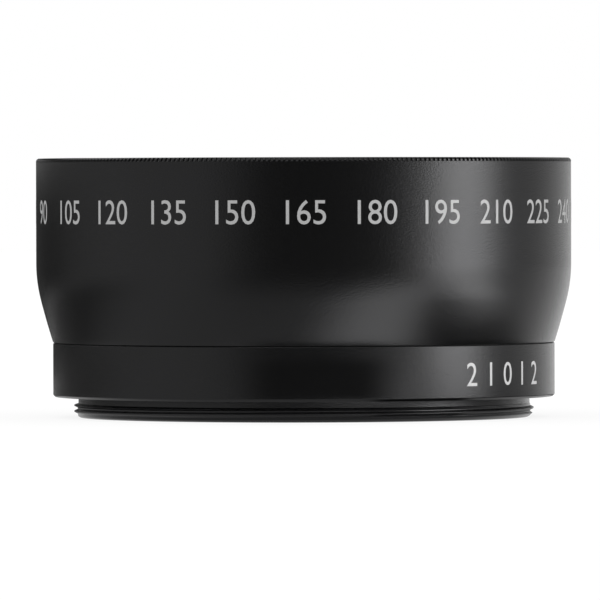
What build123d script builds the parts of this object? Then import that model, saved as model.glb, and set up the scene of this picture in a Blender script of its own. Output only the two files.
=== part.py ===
from build123d import *
import math
import os

# A wide-angle conversion lens made of two halves that screw together, in millimetres.
# The wide half has a bell-shaped barrel with a large dished glass. The macro half is a
# short ring with a magnifying glass and the thread that screws into a camera lens.
# Z is the optical axis, with the wide end up. z = 0 is the free end of the rear thread.

# Rear thread, 58 mm across its crests, between a plain pilot and a relief groove that is
# also cut a little into the shoulder, so that the camera lens seats flat against it
rear_thread_r = 29.0
rear_thread_length = 1.35
pilot_length = 0.4
pilot_chamfer = 0.25
thread_depth = 0.5
relief_width = 0.85
relief_depth = 0.53
shoulder_undercut = 0.1
undercut_margin = 0.1
rear_spigot_wall = 1.87

# Screw joint between the halves
spigot_length = 3.14
spigot_wall = 1.62
thread_runout = 0.3
thread_clearance = 0.08

# Macro ring
ring_wall = 1.65
ring_height = 6.84
ring_foot_chamfer = 0.28
seam_chamfer = 0.12

# Macro glass, its cell in the macro ring, and the lock ring behind it
macro_lens_edge = 2.0
macro_bulge = 3.2
macro_lens_z = 4.4
lens_clearance = 0.05
lip_width = 1.25
lip_thickness = 0.8
cell_wall = 2.05
cell_gap = 0.7
lock_thread_step = 1.05
lock_ring_height = 1.7
lock_ring_chamfer = 0.3
spanner_notch_width = 1.6
spanner_notch_depth = 1.0

# Front glass: a meniscus, hollow towards the camera
front_lens_centre = 2.8
front_bulge = 3.56
rear_dish_depth = 12.0
rear_seat_width = 1.5
glass_bevel = 0.3
glass_play = 0.03
glass_below_rim = 0.44

# Barrel
barrel_height = 22.7
barrel_wall = 2.38
straight_side_height = 12.64
shoulder_curve_r = 19.2
shoulder_turn = 14.5
waist_step = 0.03
ledge_reach = 3.3
ledge_width = 5.05
ledge_thickness = 1.2
inner_cone_height = 3.3

# Front ring that holds the front glass, with its milled rim
front_thread_step = 1.35
front_lip_width = 1.0
front_mouth_flare = 1.4
front_bore_land = 0.6
rim_height = 0.5
rim_chamfer = 0.25
knurl_count = 340
knurl_depth = 0.2
knurl_height = 0.42
knurl_land_share = 0.45


def curve_for(aperture_r, depth):
    """The radius of a sphere that drops by depth over the distance aperture_r from its axis."""
    return (aperture_r**2 + depth**2) / (2 * depth)


def sag(curve_r, r):
    """How far a spherical face of radius curve_r has dropped at the distance r from its axis."""
    return curve_r - math.sqrt(curve_r**2 - r**2)


# Radii of the macro half, from the rear thread inwards and then out to the joint
pilot_r = rear_thread_r - thread_depth
relief_r = rear_thread_r - relief_depth
undercut_r = rear_thread_r + undercut_margin
lock_bore_r = relief_r - rear_spigot_wall
macro_bore_r = lock_bore_r - lock_thread_step
macro_lens_r = macro_bore_r - lens_clearance
macro_aperture_r = macro_bore_r - lip_width
macro_curve_r = curve_for(macro_lens_r, macro_bulge)
cell_r = macro_bore_r + cell_wall
spigot_bore_r = cell_r + cell_gap
spigot_r = spigot_bore_r + spigot_wall
joint_thread_r = spigot_r + thread_clearance
ring_r = joint_thread_r + ring_wall

# Radii of the wide half, from the ledge under the glass outwards
waist_r = ring_r + waist_step
ledge_r = spigot_bore_r - ledge_reach
rear_aperture_r = ledge_r - rear_seat_width
front_bore_r = ledge_r + ledge_width
front_lens_r = front_bore_r - lens_clearance
front_thread_r = front_bore_r + front_thread_step
barrel_r = front_thread_r + barrel_wall
front_aperture_r = front_lens_r - front_lip_width
front_mouth_r = front_aperture_r + front_mouth_flare
front_curve_r = curve_for(front_aperture_r, front_bulge)
rear_curve_r = curve_for(rear_aperture_r, rear_dish_depth)

# Heights of the macro half
thread_top_z = pilot_length + rear_thread_length
ring_foot_z = thread_top_z + relief_width
seam_z = ring_foot_z + ring_height
thread_floor_z = seam_z - spigot_length - thread_runout
macro_lens_top_z = macro_lens_z + macro_lens_edge
edge_drop = macro_bulge - sag(macro_curve_r, macro_aperture_r)
lip_z = macro_lens_top_z + edge_drop
cell_top_z = lip_z + lip_thickness
lock_ring_top_z = macro_lens_z - edge_drop
lock_ring_foot_z = lock_ring_top_z - lock_ring_height

# Heights of the wide half
barrel_top_z = seam_z + barrel_height
rim_z = barrel_top_z + rim_height
front_vertex_z = rim_z - glass_below_rim
rear_vertex_z = front_vertex_z - front_lens_centre
ledge_z = rear_vertex_z - rear_dish_depth
ledge_foot_z = ledge_z - ledge_thickness
cone_foot_z = ledge_foot_z - inner_cone_height
spigot_end_z = seam_z - spigot_length
front_ring_foot_z = front_vertex_z - front_bulge + glass_play
front_thread_floor_z = front_ring_foot_z - thread_runout


def dome(curve_r, r, vertex_z, way):
    """The points of an arc for a spherical face: on its axis, half way out and at the radius r."""
    half = (r / 2, vertex_z + way * sag(curve_r, r / 2))
    edge = (r, vertex_z + way * sag(curve_r, r))
    return (0, vertex_z), half, edge


def milled_edge():
    """The outline of the milled rim: for each tooth a short land and the bottom of a V notch."""
    tooth = 2 * math.pi / knurl_count
    land = tooth * knurl_land_share
    notch_r = barrel_r - knurl_depth
    points = []
    for i in range(knurl_count):
        start = i * tooth
        notch = start + (land + tooth) / 2
        points.append((barrel_r * math.cos(start), barrel_r * math.sin(start)))
        points.append((barrel_r * math.cos(start + land), barrel_r * math.sin(start + land)))
        points.append((notch_r * math.cos(notch), notch_r * math.sin(notch)))
    return points


# Macro ring: rear thread, plain outside, female thread for the barrel and the glass's cell
with BuildPart() as macro_ring:
    with BuildSketch(Plane.XZ):
        with BuildLine():
            Polyline(
                (lock_bore_r, 0),
                (pilot_r - pilot_chamfer, 0),
                (pilot_r, pilot_chamfer),
                (pilot_r, pilot_length),
                (rear_thread_r, pilot_length),
                (rear_thread_r, thread_top_z),
                (relief_r, thread_top_z),
                (relief_r, ring_foot_z + shoulder_undercut),
                (undercut_r, ring_foot_z + shoulder_undercut),
                (undercut_r, ring_foot_z),
                (ring_r - ring_foot_chamfer, ring_foot_z),
                (ring_r, ring_foot_z + ring_foot_chamfer),
                (ring_r, seam_z - seam_chamfer),
                (ring_r - seam_chamfer, seam_z),
                (joint_thread_r, seam_z),
                (joint_thread_r, thread_floor_z),
                (cell_r, thread_floor_z),
                (cell_r, cell_top_z),
                (macro_aperture_r, cell_top_z),
                (macro_aperture_r, lip_z),
                (macro_bore_r, lip_z),
                (macro_bore_r, lock_ring_top_z + thread_clearance),
                (lock_bore_r, lock_ring_top_z + thread_clearance),
                close=True,
            )
        make_face()
    revolve(axis=Axis.Z)

# Macro glass: equally curved on both faces
with BuildPart() as macro_lens:
    with BuildSketch(Plane.XZ):
        with BuildLine():
            rear = dome(macro_curve_r, macro_lens_r, macro_lens_z - macro_bulge, 1)
            front = dome(macro_curve_r, macro_lens_r, macro_lens_top_z + macro_bulge, -1)
            ThreePointArc(*rear)
            Line(rear[-1], front[-1])
            ThreePointArc(*front)
            Line(front[0], rear[0])
        make_face()
    revolve(axis=Axis.Z)

# Lock ring: screwed in behind the macro glass with a two-pin spanner
with BuildPart() as macro_lens_ring:
    with BuildSketch(Plane.XZ):
        with BuildLine():
            Polyline(
                (macro_aperture_r + lock_ring_chamfer, lock_ring_foot_z),
                (lock_bore_r - thread_clearance, lock_ring_foot_z),
                (lock_bore_r - thread_clearance, lock_ring_top_z),
                (macro_aperture_r, lock_ring_top_z),
                (macro_aperture_r, lock_ring_foot_z + lock_ring_chamfer),
                close=True,
            )
        make_face()
    revolve(axis=Axis.Z)
    with BuildSketch(Plane.XY.offset(lock_ring_foot_z)):
        Rectangle(2 * lock_bore_r, spanner_notch_width)
    extrude(amount=spanner_notch_depth, mode=Mode.SUBTRACT)

# Front barrel: bell-shaped outside, with the ledge that the front glass sits on
with BuildPart() as front_barrel:
    with BuildSketch(Plane.XZ):
        with BuildLine():
            side = Line((barrel_r, barrel_top_z), (barrel_r, barrel_top_z - straight_side_height))
            shoulder = JernArc(side @ 1, (0, -1), shoulder_curve_r, -shoulder_turn)
            flank = TangentArc(
                shoulder @ 1, (waist_r, seam_z + seam_chamfer), tangent=shoulder % 1
            )
            Polyline(
                flank @ 1,
                (waist_r - seam_chamfer, seam_z),
                (spigot_r, seam_z),
                (spigot_r, spigot_end_z),
                (spigot_bore_r, spigot_end_z),
                (spigot_bore_r, cone_foot_z),
                (ledge_r, ledge_foot_z),
                (ledge_r, ledge_z),
                (front_bore_r, ledge_z),
                (front_bore_r, front_thread_floor_z),
                (front_thread_r, front_thread_floor_z),
                (front_thread_r, barrel_top_z),
                side @ 0,
            )
        make_face()
    revolve(axis=Axis.Z)

# Front glass
with BuildPart() as front_lens:
    with BuildSketch(Plane.XZ):
        with BuildLine():
            rear = dome(rear_curve_r, rear_aperture_r, rear_vertex_z, -1)
            front = dome(front_curve_r, front_lens_r, front_vertex_z, -1)
            ThreePointArc(*rear)
            Polyline(
                rear[-1],
                (front_lens_r - glass_bevel, ledge_z),
                (front_lens_r, ledge_z + glass_bevel),
                front[-1],
            )
            ThreePointArc(*front)
            Line(front[0], rear[0])
        make_face()
    revolve(axis=Axis.Z)

# Front ring: a threaded skirt that presses on the glass, and a thin milled rim
with BuildPart() as front_ring:
    with BuildSketch(Plane.XZ):
        with BuildLine():
            Polyline(
                (front_aperture_r, front_ring_foot_z),
                (front_thread_r - thread_clearance, front_ring_foot_z),
                (front_thread_r - thread_clearance, barrel_top_z),
                (barrel_r, barrel_top_z),
                (barrel_r, rim_z - rim_chamfer),
                (barrel_r - rim_chamfer, rim_z),
                (front_mouth_r, rim_z),
                (front_aperture_r, front_ring_foot_z + front_bore_land),
                close=True,
            )
        make_face()
    revolve(axis=Axis.Z)
    with BuildSketch(Plane.XY.offset(rim_z - knurl_height)):
        Circle(barrel_r + knurl_depth)
        with BuildLine():
            Polyline(*milled_edge(), close=True)
        make_face(mode=Mode.SUBTRACT)
    extrude(amount=knurl_height, mode=Mode.SUBTRACT)

os.makedirs("parts", exist_ok=True)

macro_ring.part.label = "macro_ring"
export_step(macro_ring.part, "parts/macro_ring.step")

macro_lens.part.label = "macro_lens"
export_step(macro_lens.part, "parts/macro_lens.step")

macro_lens_ring.part.label = "macro_lens_ring"
export_step(macro_lens_ring.part, "parts/macro_lens_ring.step")

front_barrel.part.label = "front_barrel"
export_step(front_barrel.part, "parts/front_barrel.step")

front_lens.part.label = "front_lens"
export_step(front_lens.part, "parts/front_lens.step")

front_ring.part.label = "front_ring"
export_step(front_ring.part, "parts/front_ring.step")
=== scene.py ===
import math

import bmesh
import bpy
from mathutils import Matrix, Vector


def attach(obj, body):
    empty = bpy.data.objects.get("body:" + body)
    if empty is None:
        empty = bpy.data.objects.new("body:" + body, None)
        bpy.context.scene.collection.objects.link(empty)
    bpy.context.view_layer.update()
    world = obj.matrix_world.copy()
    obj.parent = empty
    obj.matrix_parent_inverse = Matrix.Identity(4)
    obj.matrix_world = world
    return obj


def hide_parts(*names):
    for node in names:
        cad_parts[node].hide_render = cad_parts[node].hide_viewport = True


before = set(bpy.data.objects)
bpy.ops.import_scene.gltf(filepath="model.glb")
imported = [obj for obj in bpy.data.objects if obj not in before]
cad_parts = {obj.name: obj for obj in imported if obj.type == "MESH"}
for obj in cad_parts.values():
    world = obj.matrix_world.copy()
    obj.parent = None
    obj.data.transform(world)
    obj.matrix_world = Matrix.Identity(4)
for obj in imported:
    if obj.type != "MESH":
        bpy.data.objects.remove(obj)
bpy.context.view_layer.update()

# Sizes of the solids, in millimetres, z = 0 at the free end of the rear thread
MM = 0.001
TURN = 2 * math.pi
SHARP = math.radians(38)

# Columns of the meshes round the axis, and chords of one side of the lock ring
METAL_COLUMNS = 300
GLASS_COLUMNS = 192
LOCK_CHORDS = 90

PITCH = 0.75
THREAD_DEPTH = 0.46
THREAD_CLEARANCE = 0.08

REAR_THREAD_R = 29.0
PILOT_R = 28.5
PILOT_LENGTH = 0.15
REAR_THREAD_TOP = 1.79
REAR_CREST_Z = 0.405
RUN_OUT_SLOPE = 2.8
RELIEF_R = 28.47
SHOULDER_UNDERCUT = 0.1
UNDERCUT_R = 29.1

RING_FOOT = 2.6
RING_R = 31.65
RING_FOOT_CHAMFER = 0.28
SEAM = 9.44
SEAM_CHAMFER = 0.09
SEAM_GAP_FOOT = 9.37
SEAM_GAP_TOP = 9.46
SEAM_GAP_R = 31.2
JOINT_THREAD_R = 30.0
JOINT_THREAD_FOOT = 6.0
JOINT_LEAD_IN = 0.05
JOINT_LEAD_SLOPE = 1.5

CELL_R = 27.6
CELL_TOP = 7.5
LIP_Z = 6.7
MACRO_APERTURE_R = 24.3
MACRO_BORE_R = 25.55
LOCK_BORE_R = 26.6
LOCK_BORE_TOP = 4.18
LOCK_PITCH = 0.5
LOCK_THREAD_DEPTH = 0.28
LOCK_CREST_Z = 0.1
LOCK_LEAD_IN = 0.25
LOCK_RING_FOOT = 2.4
LOCK_RING_TOP = 4.1
LOCK_RING_CHAMFER = 0.3
SPANNER_NOTCH_WIDTH = 1.6
SPANNER_NOTCH_DEPTH = 1.0

MACRO_LENS_R = 25.5
MACRO_LENS_FOOT = 4.4
MACRO_LENS_TOP = 6.4
MACRO_BULGE = 3.2

BARREL_R = 33.78
BARREL_TOP = 32.14
STRAIGHT_SIDE_FOOT = 19.5
SHOULDER_CURVE_R = 19.2
SHOULDER_TURN = 14.5
WAIST_R = 31.68
SPIGOT_NECK_R = 29.4
SPIGOT_NECK_LENGTH = 0.35
SPIGOT_END = 6.3
SPIGOT_LEAD_IN = 0.05
SPIGOT_LEAD_SLOPE = 1.2
SPIGOT_BORE_R = 28.3
CONE_FOOT = 12.9
GROOVE_COUNT = 8
BORE_GROOVE_DEPTH = -0.26
CONE_GROOVE_DEPTH = -0.3
LEDGE_FOOT = 16.2
LEDGE_R = 25.0
LEDGE_Z = 17.4
FRONT_BORE_R = 30.05
FRONT_THREAD_R = 31.4
FRONT_THREAD_FOOT = 28.37

FRONT_LENS_R = 30.0
REAR_APERTURE_R = 23.5
REAR_DISH_DEPTH = 12.0
REAR_VERTEX = 29.4
FRONT_VERTEX = 32.2
FRONT_APERTURE_R = 29.0
FRONT_BULGE = 3.56
GLASS_BEVEL = 0.3

FRONT_RING_FOOT = 28.67
FRONT_MOUTH_R = 30.4
FRONT_BORE_LAND = 0.6
MOUTH_STEP_COUNT = 6
MOUTH_STEP_DEPTH = 0.16
RIM_Z = 32.64
RIM_CHAMFER = 0.25
RIM_EASE = 0.12
NOTCH_COUNT = 340
NOTCH_FOOT = BARREL_TOP
NOTCH_DEPTH = 0.03
NOTCH_SLANT = 1.0
NOTCH_LAND_SHARE = 0.42
NOTCH_WALL_SHARE = 0.06

# Printed figures, silk-screened 12 micrometres thick, on a side that leaves room for them
PRINT_THICKNESS = 0.012
PRINT_ROOM = 0.015
PRINT_CHORD = 0.3
FIGURE_NARROWING = 0.93
BARREL_FIGURE_STEP = 15
BARREL_FIGURES_MIDDLE = 277.5
BARREL_FIGURES_FOOT = 24.4
BARREL_FIGURE_HEIGHT = 3.0
RING_FIGURE_STEP = 6
RING_FIGURES_MIDDLE = 323
RING_FIGURES_FOOT = 4.35
RING_FIGURE_HEIGHT = 2.9

# How far one wave of the wave texture reaches at a scale of 1
WAVE_PERIOD = 0.314

# Columns and rows of a card's mesh, and what keeps a fade of no length from dividing by zero
CARD_COLUMNS = 41
CARD_ROWS = 21
LEAST_DEGREES = 0.01
LEAST_SHARE = 0.001

# Camera, at the height and distance at which the photograph was taken
camera = bpy.data.objects.new("camera", bpy.data.cameras.new("camera"))
bpy.context.scene.collection.objects.link(camera)
bpy.context.scene.camera = camera
camera.data.sensor_width = 36
camera.data.lens = 518
camera.data.clip_start = 0.05
camera.data.clip_end = 20
camera.location = (-0.00045, -1.09, 0.0284)
camera.rotation_euler = (math.radians(90 - 0.7183), math.radians(0.12), 0)


def bend(start, corner, end, chords):
    """Points of a smooth bend from start to end that touches both lines through the corner."""
    points = []
    for i in range(chords + 1):
        t = i / chords
        points.append(tuple(
            (1 - t) ** 2 * a + 2 * t * (1 - t) * b + t * t * c
            for a, b, c in zip(start, corner, end)
        ))
    return points


def eased(outline):
    """The closed outline with each (r, z, ease) corner rounded off over the length ease."""
    rows = []
    for i, here in enumerate(outline):
        if callable(here) or len(here) == 2:
            rows.append(here)
            continue
        corner = Vector(here[:2])
        before = outline[i - 1]
        before = Vector(before(0)[-1] if callable(before) else before[:2])
        after = outline[(i + 1) % len(outline)]
        after = Vector(after(0)[0] if callable(after) else after[:2])
        start = corner + (before - corner).normalized() * here[2]
        end = corner + (after - corner).normalized() * here[2]
        rows.extend(bend(start, corner, end, 3))
    return rows


# A 60 degree thread along one pitch: share of the pitch, and depth from crest 0 to root 1
THREAD_FORM = ((0, 1), (0.1, 0.97), (0.39, 0.04), (0.42, 0), (0.58, 0), (0.61, 0.04), (0.9, 0.97), (1, 1))


def thread_sink(share):
    """How deep the thread is at this share of its pitch."""
    share %= 1
    for (a, sink_a), (b, sink_b) in zip(THREAD_FORM, THREAD_FORM[1:]):
        if share <= b:
            return sink_a + (sink_b - sink_a) * (share - a) / (b - a)


def thread(low, high, crest_r, sink, crest_z, pitch=PITCH, lead_in=None, falling=False):
    """Rows of a right-handed thread between low and high, with a crest at crest_z where the angle is 0.

    A negative sink cuts a male thread inwards and a positive one a female thread outwards.
    lead_in gives the furthest radius that the chamfer at the thread's ends allows at a height.
    """
    first = math.floor((low - crest_z) / pitch) - 2
    last = math.ceil((high - crest_z) / pitch) + 1

    def rows(angle):
        climb = crest_z + angle / TURN * pitch
        points = []
        for turn in range(first, last + 1):
            for share, _ in THREAD_FORM[:-1]:
                z = min(max(climb + (turn + share - 0.5) * pitch, low), high)
                r = crest_r + sink * thread_sink((z - climb) / pitch + 0.5)
                if lead_in:
                    r = min(r, lead_in(z)) if sink < 0 else max(r, lead_in(z))
                points.append((r, z))
        return points[::-1] if falling else points

    return rows


def grooves(start, end, count, depth):
    """Sharp grooves side by side from start to end, cut to the left of that line."""
    start, end = Vector(start), Vector(end)
    step = (end - start) / count
    across = Vector((-step.y, step.x)).normalized() * depth
    points = []
    for i in range(count):
        points.append(tuple(start + step * i))
        points.append(tuple(start + step * (i + 0.3)))
        points.append(tuple(start + step * (i + 0.65) + across))
    points.append(tuple(end))
    return points


def sag(curve_r, r):
    """How far a spherical face has dropped at the distance r from its axis."""
    return curve_r - math.sqrt(curve_r**2 - r**2)


def dome(curve_r, r, vertex, way, rings):
    """Points of a polished spherical face from its axis out to the radius r."""
    reach = math.asin(r / curve_r)
    points = []
    for i in range(rings + 1):
        at = curve_r * math.sin(reach * i / rings)
        points.append((at, vertex + way * sag(curve_r, at)))
    return points


def curve_for(aperture_r, depth):
    """The radius of a sphere that drops by depth over the distance aperture_r from its axis."""
    return (aperture_r**2 + depth**2) / (2 * depth)


def even(count):
    """Angles of count columns round the axis, with the first one again at the end."""
    return [TURN * i / count for i in range(count + 1)]


def turned(name, outline, angles, body, node, profile=None):
    """A piece turned round the optical axis from its outline, which replaces a node and rides on its body.

    A row of the outline is a fixed (r, z) or a function of the angle that gives several rows.
    profile changes a whole column of rows, given the column's number.
    """
    build = bmesh.new()
    columns = []
    for number, angle in enumerate(angles):
        rows = []
        for row in outline:
            rows.extend(row(angle) if callable(row) else [row])
        if profile:
            rows = profile(number, rows)
        around = (math.cos(angle), math.sin(angle))
        columns.append([
            build.verts.new((r * around[0] * MM, r * around[1] * MM, z * MM)) for r, z in rows
        ])
    for left, right in zip(columns, columns[1:]):
        for i in range(len(left)):
            build.faces.new((left[i - 1], right[i - 1], right[i], left[i]))
    bmesh.ops.remove_doubles(build, verts=build.verts, dist=2e-7)
    bmesh.ops.recalc_face_normals(build, faces=build.faces)
    for face in build.faces:
        face.smooth = True
    for edge in build.edges:
        edge.smooth = edge.calc_face_angle(0) < SHARP
    mesh = bpy.data.meshes.new(name)
    build.to_mesh(mesh)
    build.free()
    piece = bpy.data.objects.new(name, mesh)
    bpy.context.scene.collection.objects.link(piece)
    flats = piece.modifiers.new("flats stay flat", "WEIGHTED_NORMAL")
    flats.weight = 80
    flats.keep_sharp = True
    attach(piece, body)
    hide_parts(node)
    return piece


# Macro ring
macro_ring = turned(
    "macro_ring_turned",
    eased([
        (LOCK_BORE_R + LOCK_LEAD_IN, 0, 0.05),
        (PILOT_R - 0.25, 0, 0.06),
        (PILOT_R, PILOT_LENGTH),
        thread(
            PILOT_LENGTH, REAR_THREAD_TOP, REAR_THREAD_R, -THREAD_DEPTH, REAR_CREST_Z,
            lead_in=lambda z: min(
                PILOT_R + z - PILOT_LENGTH,
                RELIEF_R + max(REAR_THREAD_TOP - z, 0) * RUN_OUT_SLOPE,
            ),
        ),
        (RELIEF_R, REAR_THREAD_TOP + 0.01),
        (RELIEF_R, RING_FOOT + SHOULDER_UNDERCUT, 0.04),
        (UNDERCUT_R, RING_FOOT + SHOULDER_UNDERCUT, 0.03),
        (UNDERCUT_R, RING_FOOT, 0.03),
        (RING_R - RING_FOOT_CHAMFER, RING_FOOT, 0.08),
        (RING_R, RING_FOOT + RING_FOOT_CHAMFER, 0.08),
        (RING_R, SEAM_GAP_FOOT - SEAM_CHAMFER, 0.02),
        (RING_R - SEAM_CHAMFER, SEAM_GAP_FOOT),
        (SEAM_GAP_R, SEAM_GAP_FOOT),
        (SEAM_GAP_R, SEAM),
        (JOINT_THREAD_R + JOINT_LEAD_IN, SEAM),
        thread(
            JOINT_THREAD_FOOT, SEAM, JOINT_THREAD_R - THREAD_DEPTH, THREAD_DEPTH, SEAM - PITCH / 2,
            lead_in=lambda z: JOINT_THREAD_R + JOINT_LEAD_IN - (SEAM - z) * JOINT_LEAD_SLOPE,
            falling=True,
        ),
        (CELL_R, JOINT_THREAD_FOOT, 0.1),
        (CELL_R, CELL_TOP, 0.15),
        (MACRO_APERTURE_R + 0.2, CELL_TOP, 0.05),
        (MACRO_APERTURE_R, CELL_TOP - 0.3, 0.05),
        (MACRO_APERTURE_R, LIP_Z),
        (MACRO_BORE_R, LIP_Z),
        (MACRO_BORE_R, LOCK_BORE_TOP),
        (LOCK_BORE_R, LOCK_BORE_TOP),
        thread(
            LOCK_LEAD_IN, LOCK_BORE_TOP, LOCK_BORE_R, LOCK_THREAD_DEPTH, LOCK_CREST_Z,
            pitch=LOCK_PITCH, lead_in=lambda z: LOCK_BORE_R + 2 * LOCK_LEAD_IN - z, falling=True,
        ),
    ]),
    even(METAL_COLUMNS), "macro_half", "macro_ring",
)

# Macro glass
macro_curve_r = curve_for(MACRO_LENS_R, MACRO_BULGE)
macro_glass = turned(
    "macro_glass",
    dome(macro_curve_r, MACRO_LENS_R, MACRO_LENS_FOOT - MACRO_BULGE, 1, 28)
    + dome(macro_curve_r, MACRO_LENS_R, MACRO_LENS_TOP + MACRO_BULGE, -1, 28)[::-1],
    even(GLASS_COLUMNS), "macro_half", "macro_lens",
)

# Lock ring with its two spanner notches
half_notch = math.asin(SPANNER_NOTCH_WIDTH / 2 / LOCK_BORE_R)
lock_angles = []
lock_in_notch = []
for side in (0, TURN / 2):
    lock_angles += [side, side + half_notch, side + half_notch]
    lock_in_notch += [True, True, False]
    plain = TURN / 2 - 2 * half_notch
    for i in range(1, LOCK_CHORDS):
        lock_angles.append(side + half_notch + plain * i / LOCK_CHORDS)
        lock_in_notch.append(False)
    lock_angles += [side + TURN / 2 - half_notch] * 2
    lock_in_notch += [False, True]
lock_angles.append(TURN)
lock_in_notch.append(True)


def spanner_notch(number, rows):
    """Lifts the foot of the lock ring's outline to the top of the notch inside a notch."""
    if not lock_in_notch[number]:
        return rows
    return [(r, max(z, LOCK_RING_FOOT + SPANNER_NOTCH_DEPTH)) for r, z in rows]


lock_ring_r = LOCK_BORE_R - THREAD_CLEARANCE
lock_ring = turned(
    "macro_lock_ring",
    eased([
        (MACRO_APERTURE_R + LOCK_RING_CHAMFER, LOCK_RING_FOOT, 0.08),
        (lock_ring_r, LOCK_RING_FOOT, 0.08),
        (lock_ring_r, LOCK_RING_TOP),
        (MACRO_APERTURE_R, LOCK_RING_TOP),
        (MACRO_APERTURE_R, LOCK_RING_FOOT + LOCK_RING_CHAMFER, 0.08),
    ]),
    lock_angles, "macro_half", "macro_lens_ring", spanner_notch,
)

# Front barrel: straight side, bell-shaped shoulder and flank, then the joint thread
side_r = BARREL_R - PRINT_ROOM
lean = math.radians(SHOULDER_TURN)
shoulder_reach = SHOULDER_CURVE_R * math.tan(lean / 2)
shoulder_corner = Vector((side_r, STRAIGHT_SIDE_FOOT - shoulder_reach))
down_the_flank = Vector((-math.sin(lean), -math.cos(lean)))
shoulder_foot = shoulder_corner + down_the_flank * shoulder_reach
waist = Vector((WAIST_R, SEAM_GAP_TOP + SEAM_CHAMFER))
flank = waist - shoulder_foot
flank_corner = shoulder_foot + down_the_flank * flank.length_squared / (2 * flank.dot(down_the_flank))
front_barrel = turned(
    "front_barrel_turned",
    eased([
        (side_r, BARREL_TOP),
        (side_r, (BARREL_TOP + STRAIGHT_SIDE_FOOT) / 2),
        *bend((side_r, STRAIGHT_SIDE_FOOT), shoulder_corner, shoulder_foot, 16),
        *bend(shoulder_foot, flank_corner, waist, 8)[1:],
        (WAIST_R - SEAM_CHAMFER, SEAM_GAP_TOP),
        (SEAM_GAP_R, SEAM_GAP_TOP),
        (SEAM_GAP_R, SEAM),
        (SPIGOT_NECK_R, SEAM, 0.05),
        (SPIGOT_NECK_R, SEAM - SPIGOT_NECK_LENGTH),
        thread(
            SPIGOT_END, SEAM - SPIGOT_NECK_LENGTH, JOINT_THREAD_R - THREAD_CLEARANCE, -THREAD_DEPTH, SEAM,
            lead_in=lambda z: SPIGOT_NECK_R - SPIGOT_LEAD_IN + (z - SPIGOT_END) * SPIGOT_LEAD_SLOPE,
            falling=True,
        ),
        (SPIGOT_BORE_R + 0.15, SPIGOT_END, 0.05),
        (SPIGOT_BORE_R, SPIGOT_END + 0.15, 0.05),
        (SPIGOT_BORE_R, CELL_TOP + 0.3),
        *grooves(
            (SPIGOT_BORE_R, CELL_TOP + 0.6), (SPIGOT_BORE_R, CONE_FOOT - 0.2),
            GROOVE_COUNT, BORE_GROOVE_DEPTH,
        ),
        *grooves(
            (SPIGOT_BORE_R, CONE_FOOT), (LEDGE_R, LEDGE_FOOT), GROOVE_COUNT, CONE_GROOVE_DEPTH,
        ),
        (LEDGE_R, LEDGE_Z - 0.25, 0.05),
        (LEDGE_R + 0.25, LEDGE_Z, 0.05),
        (FRONT_BORE_R, LEDGE_Z),
        (FRONT_BORE_R, FRONT_THREAD_FOOT),
        (FRONT_THREAD_R, FRONT_THREAD_FOOT),
        (FRONT_THREAD_R, BARREL_TOP),
    ]),
    even(METAL_COLUMNS), "wide_half", "front_barrel",
)

# Front glass
front_curve_r = curve_for(FRONT_APERTURE_R, FRONT_BULGE)
rear_curve_r = curve_for(REAR_APERTURE_R, REAR_DISH_DEPTH)
front_glass = turned(
    "front_glass",
    dome(rear_curve_r, REAR_APERTURE_R, REAR_VERTEX, -1, 40)
    + [(FRONT_LENS_R - GLASS_BEVEL, LEDGE_Z), (FRONT_LENS_R, LEDGE_Z + GLASS_BEVEL)]
    + dome(front_curve_r, FRONT_LENS_R, FRONT_VERTEX, -1, 32)[::-1],
    even(GLASS_COLUMNS), "wide_glass", "front_lens",
)

# Front ring: notches whose floors slant in towards the rim, and fine steps down the mouth
rim_slant = RIM_EASE * math.sqrt(0.5)
tooth = TURN / NOTCH_COUNT
rim_angles = []
for i in range(NOTCH_COUNT):
    rim_angles.append(tooth * i)
    rim_angles.append(tooth * (i + NOTCH_LAND_SHARE))
    rim_angles.append(tooth * (i + NOTCH_LAND_SHARE + NOTCH_WALL_SHARE))
    rim_angles.append(tooth * (i + 1 - NOTCH_WALL_SHARE))
rim_angles.append(TURN)


def rim_side(number, rows):
    """Cuts the floor of a notch into the last two of every four columns of the front ring."""
    if number % 4 < 2:
        return rows
    cut = []
    for r, z in rows:
        if z > NOTCH_FOOT:
            r = min(r, side_r - NOTCH_DEPTH - (z - NOTCH_FOOT) * NOTCH_SLANT)
        cut.append((r, z))
    return cut


front_ring = turned(
    "front_ring_turned",
    [
        (FRONT_APERTURE_R, FRONT_RING_FOOT),
        (FRONT_THREAD_R - THREAD_CLEARANCE, FRONT_RING_FOOT),
        (FRONT_THREAD_R - THREAD_CLEARANCE, BARREL_TOP),
        (side_r - 0.03, BARREL_TOP),
        (side_r, BARREL_TOP + 0.03),
        *bend(
            (side_r, RIM_Z - RIM_CHAMFER - RIM_EASE), (side_r, RIM_Z - RIM_CHAMFER),
            (side_r - rim_slant, RIM_Z - RIM_CHAMFER + rim_slant), 4,
        ),
        (side_r - RIM_CHAMFER + 0.03, RIM_Z - 0.03),
        (side_r - RIM_CHAMFER - 0.04, RIM_Z),
        (FRONT_MOUTH_R + 0.03, RIM_Z),
        *grooves(
            (FRONT_MOUTH_R, RIM_Z - 0.03),
            (FRONT_APERTURE_R, FRONT_RING_FOOT + FRONT_BORE_LAND), MOUTH_STEP_COUNT, MOUTH_STEP_DEPTH,
        ),
    ],
    rim_angles, "wide_half", "front_ring", rim_side,
)


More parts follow.
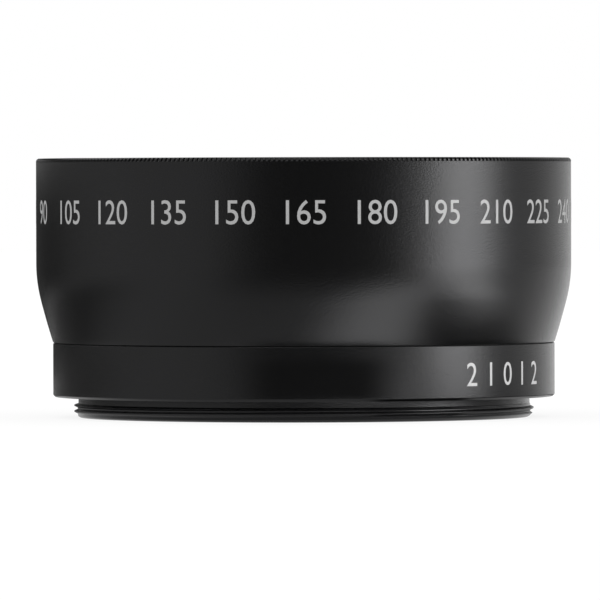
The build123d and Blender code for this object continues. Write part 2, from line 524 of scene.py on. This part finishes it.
def printed(name, figures, middle, spacing, surface_r, foot, height, body):
    """Figures printed round a cylinder, each centred spacing degrees further round than the last."""
    whole = bmesh.new()
    for number, figure in enumerate(figures):
        letters = bpy.data.curves.new(name, "FONT")
        letters.body = figure
        letters.align_x = "CENTER"
        letters.extrude = 0.5
        letters.resolution_u = 4
        flat = bpy.data.objects.new(name, letters)
        bpy.context.scene.collection.objects.link(flat)
        seen = flat.evaluated_get(bpy.context.evaluated_depsgraph_get())
        part = bmesh.new()
        part.from_mesh(seen.to_mesh())
        seen.to_mesh_clear()
        bpy.data.objects.remove(flat)
        bmesh.ops.remove_doubles(part, verts=part.verts, dist=1e-5)
        low = min(v.co.y for v in part.verts)
        scale = height / (max(v.co.y for v in part.verts) - low)
        for v in part.verts:
            v.co.x *= scale * FIGURE_NARROWING
            v.co.y = (v.co.y - low) * scale
            v.co.z = (v.co.z + 0.5) * PRINT_THICKNESS
        reach = max(abs(v.co.x) for v in part.verts)
        cuts = math.ceil(2 * reach / PRINT_CHORD)
        for i in range(1, cuts):
            bmesh.ops.bisect_plane(
                part, geom=part.verts[:] + part.edges[:] + part.faces[:],
                plane_co=(-reach + 2 * reach * i / cuts, 0, 0), plane_no=(1, 0, 0),
            )
        angle = math.radians(middle + (number - (len(figures) - 1) / 2) * spacing)
        copy = {}
        for v in part.verts:
            around = angle + v.co.x / surface_r
            r = (surface_r + v.co.z) * MM
            copy[v] = whole.verts.new((r * math.cos(around), r * math.sin(around), (foot + v.co.y) * MM))
        for face in part.faces:
            whole.faces.new([copy[v] for v in face.verts])
        part.free()
    mesh = bpy.data.meshes.new(name)
    whole.to_mesh(mesh)
    whole.free()
    piece = bpy.data.objects.new(name, mesh)
    bpy.context.scene.collection.objects.link(piece)
    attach(piece, body)
    return piece


# Figures round the barrel and on the macro ring
barrel_figures = printed(
    "barrel_figures", [str(degrees) for degrees in range(0, 360, BARREL_FIGURE_STEP)],
    BARREL_FIGURES_MIDDLE, BARREL_FIGURE_STEP, side_r, BARREL_FIGURES_FOOT, BARREL_FIGURE_HEIGHT,
    "wide_half",
)
ring_figures = printed(
    "ring_figures", ["2", "1", "0", "1", "2"],
    RING_FIGURES_MIDDLE, RING_FIGURE_STEP, RING_R, RING_FIGURES_FOOT, RING_FIGURE_HEIGHT,
    "macro_half",
)


def linear(colour):
    """An sRGB hex colour as linear red, green, blue and alpha."""
    values = [int(colour[i:i + 2], 16) / 255 for i in (1, 3, 5)]
    return [v / 12.92 if v <= 0.04045 else ((v + 0.055) / 1.055) ** 2.4 for v in values] + [1]


def add_node(tree, kind, inputs, **settings):
    """Adds a node with its settings, and with its inputs as values or as links from other nodes."""
    made = tree.nodes.new(kind)
    for name, value in settings.items():
        setattr(made, name, value)
    for name, value in inputs.items():
        if isinstance(value, bpy.types.NodeSocket):
            tree.links.new(value, made.inputs[name])
        else:
            made.inputs[name].default_value = value
    return made


def new_material(name):
    """A material with an empty node tree."""
    material = bpy.data.materials.new(name)
    material.use_nodes = True
    material.node_tree.nodes.clear()
    return material, material.node_tree


# Black anodised aluminium, bead-blasted before it was dyed: a dark metal whose fine grain spreads
# a lamp into a soft band, with a faint cloudiness where the dye took unevenly.
black_anodised, tree = new_material("black_anodised_bead_blasted")
where = add_node(tree, "ShaderNodeTexCoord", {})
# Blasting grit leaves dents of about 0.1 mm; they are drawn 0.2 mm wide so that they show at all.
grain = add_node(tree, "ShaderNodeTexNoise", {
    "Vector": where.outputs["Object"], "Scale": 1 / (0.2 * MM), "Detail": 2,
})
dents = add_node(tree, "ShaderNodeBump", {
    "Strength": 0.7, "Distance": 0.036 * MM, "Height": grain.outputs["Fac"],
})
# The dye bath leaves clouds about 9 mm across.
cloud = add_node(tree, "ShaderNodeTexNoise", {
    "Vector": where.outputs["Object"], "Scale": 1 / (9 * MM), "Detail": 3,
})
haze = add_node(tree, "ShaderNodeMapRange", {
    "Value": cloud.outputs["Fac"], "To Min": 0.24, "To Max": 0.27,
})
shade = add_node(tree, "ShaderNodeMix", {
    "Factor": cloud.outputs["Fac"], "A": linear("#212121"), "B": linear("#232324"),
}, data_type="RGBA")
surface = add_node(tree, "ShaderNodeBsdfPrincipled", {
    "Base Color": shade.outputs[2], "Metallic": 0.85, "Roughness": haze.outputs["Result"],
    "Normal": dents.outputs["Normal"],
})
add_node(tree, "ShaderNodeOutputMaterial", {"Surface": surface.outputs["BSDF"]})

# The same metal where a tool has turned it and nothing was blasted, on the threads and the lock
# ring: darker, because its bare flanks throw the light aside, with the tool's fine lines round it.
black_turned, tree = new_material("black_anodised_turned")
where = add_node(tree, "ShaderNodeTexCoord", {})
# The tool's feed leaves lines 0.08 mm apart round the piece; they are drawn 0.2 mm apart.
feed = add_node(tree, "ShaderNodeTexWave", {
    "Vector": where.outputs["Object"], "Scale": WAVE_PERIOD / (0.2 * MM), "Distortion": 0.4,
}, bands_direction="Z")
lines = add_node(tree, "ShaderNodeBump", {
    "Strength": 0.1, "Distance": 0.01 * MM, "Height": feed.outputs["Fac"],
})
surface = add_node(tree, "ShaderNodeBsdfPrincipled", {
    "Base Color": linear("#2a2a2b"), "Metallic": 0.3, "Roughness": 0.25, "Specular IOR Level": 0.21,
    "Normal": lines.outputs["Normal"],
})
add_node(tree, "ShaderNodeOutputMaterial", {"Surface": surface.outputs["BSDF"]})

# Matt black lacquer inside the barrel, there to swallow stray light: nearly no gloss at all.
matt_lacquer, tree = new_material("matt_black_lacquer")
where = add_node(tree, "ShaderNodeTexCoord", {})
# Its matting grains clump to about 0.25 mm.
grain = add_node(tree, "ShaderNodeTexNoise", {
    "Vector": where.outputs["Object"], "Scale": 1 / (0.25 * MM), "Detail": 3,
})
rough = add_node(tree, "ShaderNodeBump", {
    "Strength": 0.08, "Distance": 0.02 * MM, "Height": grain.outputs["Fac"],
})
surface = add_node(tree, "ShaderNodeBsdfPrincipled", {
    "Base Color": linear("#141414"), "Roughness": 0.75, "IOR": 1.45, "Normal": rough.outputs["Normal"],
})
add_node(tree, "ShaderNodeOutputMaterial", {"Surface": surface.outputs["BSDF"]})

# Crown glass, polished, with a single magnesium fluoride layer that leaves a violet reflection.
coated_glass, tree = new_material("coated_crown_glass")
surface = add_node(tree, "ShaderNodeBsdfPrincipled", {
    "Base Color": linear("#fbfdfc"), "Roughness": 0, "IOR": 1.517, "Transmission Weight": 1,
    "Thin Film Thickness": 105, "Thin Film IOR": 1.38,
})
add_node(tree, "ShaderNodeOutputMaterial", {"Surface": surface.outputs["BSDF"]})

# Black ink on the ground edges of the glasses: dull, so that the edge throws no light about.
edge_ink, tree = new_material("black_edge_ink")
where = add_node(tree, "ShaderNodeTexCoord", {})
# A brush leaves it uneven over about 0.3 mm.
grain = add_node(tree, "ShaderNodeTexNoise", {
    "Vector": where.outputs["Object"], "Scale": 1 / (0.3 * MM), "Detail": 2,
})
shade = add_node(tree, "ShaderNodeMix", {
    "Factor": grain.outputs["Fac"], "A": linear("#0e0e0f"), "B": linear("#161617"),
}, data_type="RGBA")
surface = add_node(tree, "ShaderNodeBsdfPrincipled", {
    "Base Color": shade.outputs[2], "Roughness": 0.6, "IOR": 1.5,
})
add_node(tree, "ShaderNodeOutputMaterial", {"Surface": surface.outputs["BSDF"]})

# Silk-screened epoxy ink: a flat, slightly grainy coat with a weak gloss.
printing_inks = []
for name, thin, full in (
    ("grey_screen_ink", "#a6a6a6", "#b2b2b2"),
    ("pale_screen_ink", "#d0d0d0", "#dcdcdc"),
):
    ink, tree = new_material(name)
    where = add_node(tree, "ShaderNodeTexCoord", {})
    # The screen's mesh, 0.1 mm between threads, leaves the coat uneven; it is drawn at 0.15 mm.
    mesh_marks = add_node(tree, "ShaderNodeTexNoise", {
        "Vector": where.outputs["Object"], "Scale": 1 / (0.15 * MM), "Detail": 2,
    })
    shade = add_node(tree, "ShaderNodeMix", {
        "Factor": mesh_marks.outputs["Fac"], "A": linear(thin), "B": linear(full),
    }, data_type="RGBA")
    surface = add_node(tree, "ShaderNodeBsdfPrincipled", {
        "Base Color": shade.outputs[2], "Roughness": 0.55, "IOR": 1.5,
    })
    add_node(tree, "ShaderNodeOutputMaterial", {"Surface": surface.outputs["BSDF"]})
    printing_inks.append(ink)


def finish(piece, material, where=lambda r, z: True):
    """Puts a finish on the faces whose middle, as r and z in millimetres, lies where it should go."""
    finishes = piece.data.materials
    if material.name not in finishes:
        finishes.append(material)
    index = finishes.find(material.name)
    for face in piece.data.polygons:
        if where(math.hypot(face.center.x, face.center.y) / MM, face.center.z / MM):
            face.material_index = index


# Macro ring: turned threads, lacquer in the cell, and matt black lacquer in the gap of the seam as painted
# shade, so that the gap stays dark
finish(macro_ring, black_anodised)
finish(macro_ring, black_turned, lambda r, z: z < REAR_THREAD_TOP)
finish(macro_ring, black_turned, lambda r, z: r < JOINT_THREAD_R + 0.1 and z > JOINT_THREAD_FOOT)
finish(macro_ring, matt_lacquer, lambda r, z: r < CELL_R + 0.01 and z > LOCK_BORE_TOP - 0.1)
# Painted shade: the gap of the seam gets the matt black lacquer so that it stays dark
finish(macro_ring, matt_lacquer, lambda r, z: r > SEAM_GAP_R - 0.05 and z > SEAM_GAP_FOOT - 0.01)

# Front barrel: the same, with lacquer all the way up the bore
finish(front_barrel, black_anodised)
# Painted shade: the gap of the seam gets the matt black lacquer so that it stays dark
finish(front_barrel, matt_lacquer, lambda r, z: r > SEAM_GAP_R - 0.05 and z < SEAM_GAP_TOP + 0.01)
finish(front_barrel, black_turned, lambda r, z: r < JOINT_THREAD_R + 0.1 and z < SEAM + 0.01)
finish(front_barrel, matt_lacquer, lambda r, z: r < SPIGOT_BORE_R + 0.35 and z > SPIGOT_END + 0.2)
finish(front_barrel, matt_lacquer, lambda r, z: r < FRONT_THREAD_R + 0.01 and z > LEDGE_Z - 0.3)

# The other pieces
finish(front_ring, black_anodised)
finish(front_ring, matt_lacquer, lambda r, z: r < FRONT_MOUTH_R - 0.05)
finish(lock_ring, black_turned)
finish(front_glass, coated_glass)
finish(front_glass, edge_ink, lambda r, z: r > FRONT_LENS_R - 0.2 or z < LEDGE_Z + 0.2)
finish(macro_glass, coated_glass)
finish(macro_glass, edge_ink, lambda r, z: r > MACRO_LENS_R - 0.01 and MACRO_LENS_FOOT < z < MACRO_LENS_TOP)
finish(barrel_figures, printing_inks[0])
finish(ring_figures, printing_inks[1])

# White studio all round
world = bpy.data.worlds.new("white_studio")
bpy.context.scene.world = world
world.use_nodes = True
world.node_tree.nodes.clear()
sky = add_node(world.node_tree, "ShaderNodeBackground", {"Color": (1, 1, 1, 1), "Strength": 1})
add_node(world.node_tree, "ShaderNodeOutputWorld", {"Surface": sky.outputs["Background"]})

# White table: plain white to the camera and in reflections, with the object's soft shadow on it.
# It is clear from below, so that the rear thread and the macro glass can be looked at.
white_table, tree = new_material("white_table")
path = add_node(tree, "ShaderNodeLightPath", {})
side = add_node(tree, "ShaderNodeNewGeometry", {})
seen_or_reflected = add_node(tree, "ShaderNodeMath", {
    0: path.outputs["Is Camera Ray"], 1: path.outputs["Is Glossy Ray"],
}, operation="MAXIMUM")
looked_at = add_node(tree, "ShaderNodeMath", {
    0: seen_or_reflected.outputs[0], 1: path.outputs["Is Transmission Ray"],
}, operation="MAXIMUM")
paper = add_node(tree, "ShaderNodeBsdfDiffuse", {"Color": (0.8, 0.8, 0.8, 1)})
faint = add_node(tree, "ShaderNodeBsdfDiffuse", {"Color": (0.16, 0.16, 0.16, 1)})
glow = add_node(tree, "ShaderNodeEmission", {"Color": (1, 1, 1, 1), "Strength": 0.86})
white = add_node(tree, "ShaderNodeAddShader", {0: faint.outputs["BSDF"], 1: glow.outputs["Emission"]})
top = add_node(tree, "ShaderNodeMixShader", {
    0: looked_at.outputs[0], 1: paper.outputs["BSDF"], 2: white.outputs["Shader"],
})
clear = add_node(tree, "ShaderNodeBsdfTransparent", {})
both = add_node(tree, "ShaderNodeMixShader", {
    0: side.outputs["Backfacing"], 1: top.outputs["Shader"], 2: clear.outputs["BSDF"],
})
add_node(tree, "ShaderNodeOutputMaterial", {"Surface": both.outputs["Shader"]})


def stage_sheet(name, points, columns, material):
    """A stage sheet through points given in rows of so many columns."""
    build = bmesh.new()
    corners = [build.verts.new(point) for point in points]
    for i in range(0, len(corners) - columns, columns):
        for j in range(i, i + columns - 1):
            build.faces.new((corners[j], corners[j + 1], corners[j + columns + 1], corners[j + columns]))
    mesh = bpy.data.meshes.new(name)
    build.to_mesh(mesh)
    build.free()
    mesh.materials.append(material)
    sheet = bpy.data.objects.new(name, mesh)
    bpy.context.scene.collection.objects.link(sheet)
    return sheet


stage_sheet("table", [(-3, -3, 0), (3, -3, 0), (-3, 3, 0), (3, 3, 0)], 2, white_table)


def smooth(share):
    """A smooth step from 0 to 1."""
    share = min(max(share, 0), 1)
    return share * share * (3 - 2 * share)


def card(name, strength, azimuths, near, far, soft, swing=0):
    """A lamp or flag round the object that only reflections show.

    It lies between two azimuths, 0 on the camera's side and 90 to its right, and runs from near to
    far, each a distance and a height in metres. soft is how much of it fades out: degrees at the
    first and the last azimuth, and shares of its length at near and far. swing turns the far end
    by so many degrees.
    """
    material, tree = new_material(name)
    fade = add_node(tree, "ShaderNodeAttribute", {}, attribute_name="shown")
    clear = add_node(tree, "ShaderNodeBsdfTransparent", {})
    light = add_node(tree, "ShaderNodeEmission", {"Color": (1, 1, 1, 1), "Strength": strength})
    cover = add_node(tree, "ShaderNodeMixShader", {
        0: fade.outputs["Fac"], 1: clear.outputs["BSDF"], 2: light.outputs["Emission"],
    })
    add_node(tree, "ShaderNodeOutputMaterial", {"Surface": cover.outputs["Shader"]})
    points = []
    fades = []
    for row in range(CARD_ROWS):
        v = row / (CARD_ROWS - 1)
        distance = near[0] * (1 - v) + far[0] * v
        height = near[1] * (1 - v) + far[1] * v
        for column in range(CARD_COLUMNS):
            u = column / (CARD_COLUMNS - 1)
            azimuth = azimuths[0] * (1 - u) + azimuths[1] * u
            at = math.radians(azimuth + swing * v)
            points.append((distance * math.sin(at), -distance * math.cos(at), height))
            fades.append(
                smooth((azimuth - azimuths[0]) / (soft[0] + LEAST_DEGREES))
                * smooth((azimuths[1] - azimuth) / (soft[1] + LEAST_DEGREES))
                * smooth(v / (soft[2] + LEAST_SHARE))
                * smooth((1 - v) / (soft[3] + LEAST_SHARE))
            )
    sheet = stage_sheet(name, points, CARD_COLUMNS, material)
    shown = sheet.data.attributes.new("shown", "FLOAT", "POINT")
    shown.data.foreach_set("value", fades)
    sheet.visible_camera = False
    sheet.visible_diffuse = False
    sheet.visible_transmission = False
    sheet.visible_shadow = False


# Softbox on the right, standing on the table, and the table that it lights
card("softbox", 12, (52.5, 93), (0.6, 0), (0.6, 0.45), (12, 17, 0, 0.3))
card("lit_table_right", 8, (48, 84), (0.06, 0.0003), (0.3, 0.0003), (14, 18, 0.02, 0.1))
card("lit_table_far", 10, (42, 93), (0.2, 0.0003), (0.6, 0.0003), (12, 17, 0.2, 0))
# The object's own shade on the table, next to it on the right, and below it
card("shaded_table", 0.1, (36, 104), (0.033, 0.0004), (0.06, 0.0004), (10, 40, 0, 0.1))
card("shade_behind", 0.05, (60, 190), (0.0345, 0.0003), (0.047, 0.0003), (20, 10, 0.1, 0.2))
card("shade_below_right", 0.05, (14, 46), (0.0275, 0.0007), (0.034, 0.0007), (6, 6, 0, 0.1))
card("shade_below", 0.4, (-180, 180), (0.0275, 0.0006), (0.0315, 0.0006), (0, 0, 0, 0.3))
# A white card lying in front on the right, and a low dark screen that keeps it off the macro ring
card("lit_table_front", 4.2, (-8, 36), (0.038, 0.0005), (0.14, 0.0005), (22, 14, 0.04, 0.7), 50)
card("low_screen", 0.17, (-18, 28), (0.035, 0.0022), (0.035, 0.0082), (12, 14, 0, 0.35))
# Dark room behind the camera, the dark end of the table before it, and a lamp high up on the right
card("dark_room", 0.05, (-44, 46), (1.5, 0), (1.5, 1.2), (32, 12, 0, 0.1))
card("dark_table", 0.15, (-44, 46), (0.04, 0.0002), (1.5, 0.0002), (32, 12, 0.012, 0))
card("rim_lamp", 6, (8, 66), (0.5, 0.29), (0.5, 0.54), (6, 6, 0.1, 0.1))
# Black flag behind on the left, black cloth below it, and further back a grey sheet and a dark wall
card("black_flag", 0.05, (-200, -70), (0.12, 0), (0.12, 0.046), (10, 54, 0, 0.4))
card("black_cloth", 0.14, (-200, -56), (0.0318, 0.0003), (0.12, 0.0003), (10, 40, 0, 0))
card("grey_sheet", 0.8, (-200, -84), (0.5, 0), (0.5, 0.13), (10, 40, 0, 0.15))
card("dark_wall_left", 0.05, (-200, -84), (0.6, 0.11), (0.6, 0.42), (10, 40, 0.05, 0.1))
# Window high up behind on the left, caught by the rim's chamfer
card("high_window", 2.4, (-154, -104), (0.5, 0.26), (0.5, 1.4), (8, 10, 0.08, 0.2))
# Grey wall behind on the right
card("grey_wall_right", 0.66, (98, 170), (1.2, 0), (1.2, 0.45), (20, 10, 0, 0.4))
# Overhead softbox before the object, seen in the glass
card("overhead_softbox", 6, (-50, 10), (0.25, 0.8), (0.55, 0.7), (5, 5, 0.05, 0.05))

bpy.context.scene.view_settings.view_transform = "Standard"
